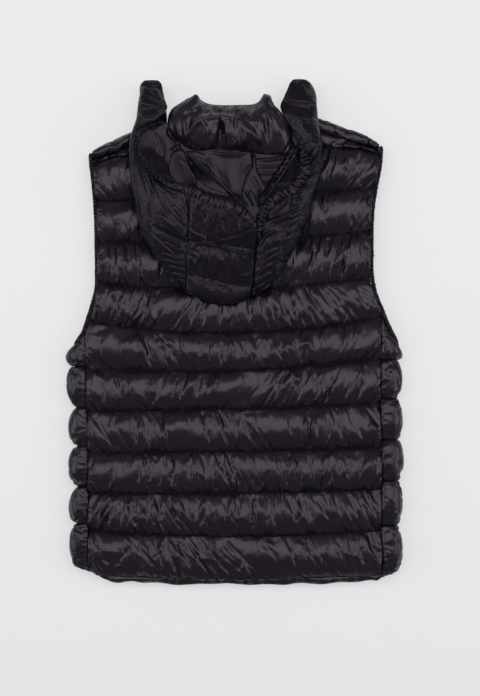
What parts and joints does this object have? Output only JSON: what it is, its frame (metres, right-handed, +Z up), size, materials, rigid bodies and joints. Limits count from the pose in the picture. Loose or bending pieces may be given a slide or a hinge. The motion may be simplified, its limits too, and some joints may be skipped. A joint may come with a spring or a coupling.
{
  "type": "hooded quilted puffer vest",
  "caption": "Sleeveless quilted vest laid flat on its front, back up, with its hood turned down over the back and a front zip.",
  "frame": {"origin": "middle of the footprint, on the surface that the vest lies on", "axes": "+X towards the wearer's right side, +Y from the hem to the collar, +Z up from the surface, out of the vest's back"},
  "size_m": [0.5088, 0.7558, 0.062],
  "materials": {
    "shell": "glossy down-proof nylon, padded and quilted",
    "lining": "smooth nylon",
    "edging": "gathered elastic",
    "tape": "woven, matt",
    "slider": "black lacquer"
  },
  "bodies": {
    "vest": {"back_panel": "shell", "front_left": "shell", "front_right": "shell", "collar": "shell", "hood_centre": "shell", "hood_left": "shell", "hood_right": "shell", "hood_lining": "lining", "hood_binding": "edging", "armhole_binding_left": "edging", "armhole_binding_right": "edging", "zip_tape_left": "tape", "zip_tape_right": "tape", "zip_slider": "slider"},
    "zip_pull": {"zip_pull": "slider"}
  },
  "joints": [
    {"name": "zip_pull_hinge", "type": "hinge", "parent": "vest", "child": "zip_pull", "pos_m": [-0.00416, 0.28039, 0.0029], "axis": [1, 0, 0], "range_deg": [0, 170]}
  ]
}
